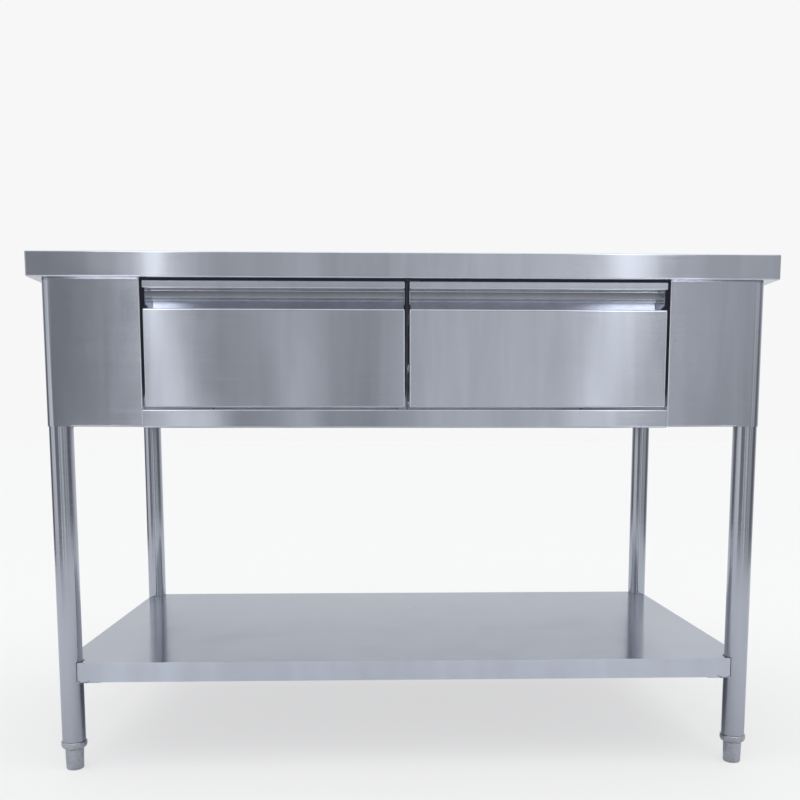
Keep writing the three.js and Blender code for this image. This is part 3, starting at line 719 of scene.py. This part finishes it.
def shelf_outline():
    """The shelf's plan, anticlockwise, with its corners cut back round the legs."""
    lowest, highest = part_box("undershelf")
    notch = 21.15 * MM
    past_x, past_y = highest.x - LEG_X, highest.y - LEG_Y
    long_edge = 180 - degrees(asin(past_y / notch))
    side_edge = 360 - degrees(acos(past_x / notch))
    quarter = arc((LEG_X, LEG_Y), notch, side_edge, long_edge, 20)
    points = quarter
    points += [(-a, b) for a, b in reversed(quarter)]
    points += [(-a, -b) for a, b in quarter]
    points += [(a, -b) for a, b in reversed(quarter)]
    return points


def build_undershelf():
    lowest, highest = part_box("undershelf")
    outline = shelf_outline()
    flange = 18 * MM
    count = len(outline)
    bm = bmesh.new()
    upper = [bm.verts.new((a, b, highest.z)) for a, b in outline]
    lower = [bm.verts.new((a, b, lowest.z)) for a, b in outline]
    inner_x, inner_y = highest.x - flange, highest.y - flange
    inward = []
    for a, b in outline:
        corner = Vector((LEG_X * (1 if a > 0 else -1), LEG_Y * (1 if b > 0 else -1)))
        away = Vector((a, b)) - corner
        moved = corner + away.normalized() * (away.length + flange)
        inward.append((max(-inner_x, min(inner_x, moved.x)), max(-inner_y, min(inner_y, moved.y))))
    edge = [bm.verts.new((a, b, lowest.z)) for a, b in inward]
    bm.faces.new(upper)
    for i in range(count):
        j = (i + 1) % count
        bm.faces.new((upper[j], upper[i], lower[i], lower[j]))
        bm.faces.new((lower[j], lower[i], edge[i], edge[j]))
    mesh = folded(bm, SHEET, SHELF_BEND)
    piece("undershelf_sheet", mesh, shelf_steel, "frame", ["undershelf"])


build_worktop()
for end in ENDS:
    build_hat_channel(f"top_channel_{end}", f"worktop_channel_{end}", hidden_steel)
build_rear_apron()
build_bottom_rail()
build_wall("compartment_divider", "centre_divider", 1, 1.5 * MM)
for side, sign in SIDES.items():
    build_side_apron(side)
    build_wall(f"compartment_wall_{side}", f"drawer_wall_{side}", sign, SHEET)
    build_drawer_front(side)
    build_drawer_box(side)
    build_rivets(side)
    for wall in ("wall", "divider"):
        for member in SLIDE_BODIES:
            build_slide_member(member, side, wall)
for corner in CORNERS:
    build_leg(corner)
    build_foot(corner)
    build_foot_insert(corner)
build_undershelf()
build_hat_channel("shelf_stiffener", "shelf_channel", hidden_steel)

CAD_FINISHES = {"worktop_board": board_wood}
for corner in CORNERS:
    CAD_FINISHES[f"leg_spigot_{corner}"] = plate_steel
    CAD_FINISHES[f"leg_bolt_{corner}"] = bolt_steel
    CAD_FINISHES[f"shelf_bracket_{corner}"] = plate_steel
    CAD_FINISHES[f"shelf_bolt_{corner}"] = bolt_steel
for node, material in CAD_FINISHES.items():
    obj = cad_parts[node]
    for material_slot in obj.material_slots:
        material_slot.material = material
    if material is not board_wood:
        edges = obj.modifiers.new("rounded_edges", "BEVEL")
        edges.width = 0.4 * MM
        edges.segments = 2
        edges.limit_method = "ANGLE"
        edges.angle_limit = radians(40)


# ------------------------------------------------------------------ camera, light and floor

def build_camera():
    """The photograph's view: eye height just below the worktop, looking slightly down."""
    data = bpy.data.cameras.new("camera")
    camera = bpy.data.objects.new("camera", data)
    bpy.context.scene.collection.objects.link(camera)
    data.sensor_width = 36.0
    data.lens = 43.04
    data.shift_x = -0.0108
    data.shift_y = 0.1744
    camera.location = (-0.0480, low("worktop_skin").y - 1.5545, 0.5738)
    pitch_down, yaw_right = 6.658, 1.835
    camera.rotation_euler = (radians(90 - pitch_down), 0.0, radians(-yaw_right))
    bpy.context.scene.camera = camera


BACKDROP = 0.93
FLOOR_GLOW = 0.62  # how much of the floor's brightness to the camera doesn't come from the light on it
FLOOR_SEEN = (0.25, 0.25, 0.25, 1.0)
FLOOR_IN_STEEL = (0.6, 0.605, 0.62, 1.0)
ROOM_RADIUS = 3.2  # further off, the steel mirrors the room's walls and not the floor


def build_floor():
    bm = bmesh.new()
    bmesh.ops.create_circle(bm, cap_ends=True, segments=96, radius=40.0)
    mesh = bpy.data.meshes.new("floor")
    bm.to_mesh(mesh)
    bm.free()
    floor = bpy.data.objects.new("floor", mesh)
    bpy.context.scene.collection.objects.link(floor)
    floor.location.z = cad_bounds[0].z - 0.0002
    material, n = new_material("floor_paint")
    seen = n.add("ShaderNodeLightPath").outputs["Is Camera Ray"]
    lit = n.add("ShaderNodeBsdfDiffuse", {"Color": FLOOR_SEEN, "Roughness": 0.5})
    glow = n.add("ShaderNodeEmission", {"Color": (1.0, 1.0, 1.0, 1.0), "Strength": FLOOR_GLOW})
    to_camera = n.add("ShaderNodeAddShader", {0: lit.outputs[0], 1: glow.outputs[0]})
    to_steel = n.add("ShaderNodeBsdfDiffuse", {"Color": FLOOR_IN_STEEL, "Roughness": 0.5})
    off = n.add("ShaderNodeVectorMath", {0: n.add("ShaderNodeTexCoord").outputs["Object"]}, operation="LENGTH")
    past = n.mapped(off.outputs["Value"], ROOM_RADIUS - 0.3, ROOM_RADIUS + 0.3, 0.0, 1.0)
    clear = n.add("ShaderNodeBsdfTransparent")
    to_steel = n.add("ShaderNodeMixShader", {0: past, 1: to_steel.outputs[0], 2: clear.outputs[0]})
    shader = n.add("ShaderNodeMixShader", {0: seen, 1: to_steel.outputs[0], 2: to_camera.outputs[0]})
    n.add("ShaderNodeOutputMaterial", {"Surface": shader.outputs[0]})
    mesh.materials.append(material)


# What the steel mirrors at eye height, as (degrees round from straight in front of the table,
# brightness): two tall soft boxes to the left and the right of the camera in a grey room, with
# dark flags at the sides and white screens behind them.
ROOM_IN_FRONT = [
    (-90, 0.72), (-62, 0.84), (-57, 0.45), (-52, 0.2), (-18.5, 0.22), (-16.6, 0.3), (-14.6, 0.4), (-13.8, 0.75),
    (-13.2, 0.98), (-12.0, 1.0), (-11.5, 0.8), (-11, 0.42), (-10.4, 0.34), (-8, 0.35), (-6.4, 0.5), (-5.3, 0.62),
    (-4.2, 0.56), (-2.4, 0.36), (-0.6, 0.32), (2.2, 0.56), (3.7, 0.6), (12.8, 0.62), (13.5, 0.98), (15.0, 1.0),
    (15.8, 0.52), (18, 0.46), (33, 0.3), (47, 0.6), (53, 0.3), (66, 0.52), (84, 0.15), (90, 0.15),
]
ROOM_BEHIND = [
    (90, 0.15), (98, 0.16), (108, 0.4), (126, 0.66), (150, 0.78), (180, 0.76), (205, 0.66), (222, 0.42),
    (236, 0.14), (256, 0.13), (262, 0.4), (270, 0.72),
]
# The same a little higher, as the worktop's lip mirrors it.
ROOM_HIGHER = [
    (-90, 0.3), (-60, 0.7), (-30, 0.3), (-21, 0.3), (-19.6, 0.26), (-17.2, 0.28), (-14.7, 0.38), (-13.6, 0.6),
    (-12.4, 0.62), (-10.4, 0.5), (-8, 0.46), (-2, 0.46),
    (2, 0.52), (6, 0.6), (13, 0.68), (13.5, 0.8), (14.1, 1.18), (15.3, 1.18), (15.9, 0.66), (16.8, 0.48), (19, 0.46),
    (24, 0.5), (45, 0.6), (64, 0.6), (84, 0.3), (90, 0.25),
]
# The boxes' bright middles, higher still.
ROOM_HIGH = [
    (-90, 0.5), (-40, 0.4), (-18, 0.3), (-17.2, 3.2), (-12.9, 3.2), (-12.1, 0.28), (13.6, 0.28), (14.4, 3.2),
    (18.4, 3.2), (19.2, 0.34), (90, 0.5),
]
NEAR_BOX = (1.3, 1.32, 1.36, 1.0)  # a third soft box, close to the table and seen in the lip alone
NEAR_BOX_SPAN = (-13.5, -12.5)
LEAN = 1.6  # the soft boxes stand closer together at the bottom
LEAN_HEIGHT = 0.09
SCREENS = (0.62, 0.63, 0.65, 1.0)
CEILING = (1.9, 1.92, 1.95, 1.0)
CEILING_IN_STEEL = (1.2, 1.22, 1.25, 1.0)


def room_ramp(n, turn, stops):
    """Brightness by direction. turn is the direction in degrees from straight ahead."""
    first, last = stops[0][0], stops[-1][0]
    ramp = n.add("ShaderNodeValToRGB", {"Fac": n.mapped(turn, first, last, 0.0, 1.0)})
    elements = ramp.color_ramp.elements
    for k, (angle, level) in enumerate(stops):
        place = (angle - first) / (last - first)
        element = elements[k] if k < 2 else elements.new(place)
        element.position = place
        element.color = (level * 0.985, level, level * 1.035, 1.0)
    return ramp.outputs[0]


def soft_box(n, turn, start, end, edge=0.12):
    """1 in the directions, in degrees, where a soft box stands, and 0 past its narrow soft edges."""
    rise = n.mapped(turn, start - edge, start + edge, 0.0, 1.0)
    fall = n.mapped(turn, end - edge, end + edge, 1.0, 0.0)
    return n.math("MULTIPLY", rise, fall)


def build_world():
    world = bpy.data.worlds.new("studio")
    bpy.context.scene.world = world
    world.use_nodes = True
    n = Nodes(world.node_tree)
    direction = n.add("ShaderNodeSeparateXYZ", {0: n.add("ShaderNodeTexCoord").outputs["Generated"]})
    x, y, z = direction.outputs

    def mixed(factor, a, b):
        return n.add("ShaderNodeMix", {"Factor": factor, 6: a, 7: b}, data_type="RGBA").outputs[2]

    ahead = n.math("MULTIPLY", y, -1.0)
    turn = n.math("MULTIPLY", n.math("ARCTAN2", x, ahead), 180 / pi)
    below = n.math("MAXIMUM", n.math("SUBTRACT", LEAN_HEIGHT, z), 0.0)
    lean = n.math("ADD", n.math("MULTIPLY", n.math("MINIMUM", below, 0.1), LEAN), 1.0)
    eye = room_ramp(n, n.math("MULTIPLY", turn, lean), ROOM_IN_FRONT)
    higher = mixed(soft_box(n, turn, *NEAR_BOX_SPAN), room_ramp(n, turn, ROOM_HIGHER), NEAR_BOX)
    high_up = room_ramp(n, turn, ROOM_HIGH)
    full_turn = n.math("ADD", turn, n.math("MULTIPLY", n.math("LESS_THAN", turn, 0.0), 360.0))
    rear = room_ramp(n, full_turn, ROOM_BEHIND)
    front = mixed(n.mapped(z, 0.105, 0.145, 0.0, 1.0), eye, higher)
    front = mixed(n.mapped(z, 0.26, 0.36, 0.0, 1.0), front, high_up)
    front = mixed(n.mapped(z, -0.13, -0.115, 1.0, 0.0), front, high_up)
    rear = mixed(n.mapped(z, 0.06, 0.3, 0.0, 1.0), rear, SCREENS)
    room = mixed(n.math("GREATER_THAN", y, 0.0), front, rear)
    rays = n.add("ShaderNodeLightPath")
    ceiling = mixed(rays.outputs["Is Diffuse Ray"], CEILING_IN_STEEL, CEILING)
    room = mixed(n.mapped(z, 0.52, 0.75, 0.0, 1.0), room, ceiling)
    colour = mixed(rays.outputs["Is Camera Ray"], room, (BACKDROP, BACKDROP, BACKDROP, 1.0))
    background = n.add("ShaderNodeBackground", {"Color": colour, "Strength": 1.0})
    n.add("ShaderNodeOutputWorld", {"Surface": background.outputs[0]})


def build_lights():
    data = bpy.data.lights.new("overhead", "AREA")
    data.shape = "RECTANGLE"
    data.size, data.size_y = 3.2, 2.4
    data.energy = 8.0
    light = bpy.data.objects.new("overhead", data)
    bpy.context.scene.collection.objects.link(light)
    light.location = (0.0, -0.4, 3.4)
    light.visible_glossy = False
    light.visible_camera = False


def set_film():
    """Plain colours, with the little glare of a real lens in the deepest shadows."""
    film = bpy.context.scene.view_settings
    film.view_transform = "Standard"
    film.use_curve_mapping = True
    film.curve_mapping.black_level = (-0.016, -0.017, -0.026)
    film.curve_mapping.update()


set_film()
build_camera()
build_floor()
build_world()
build_lights()
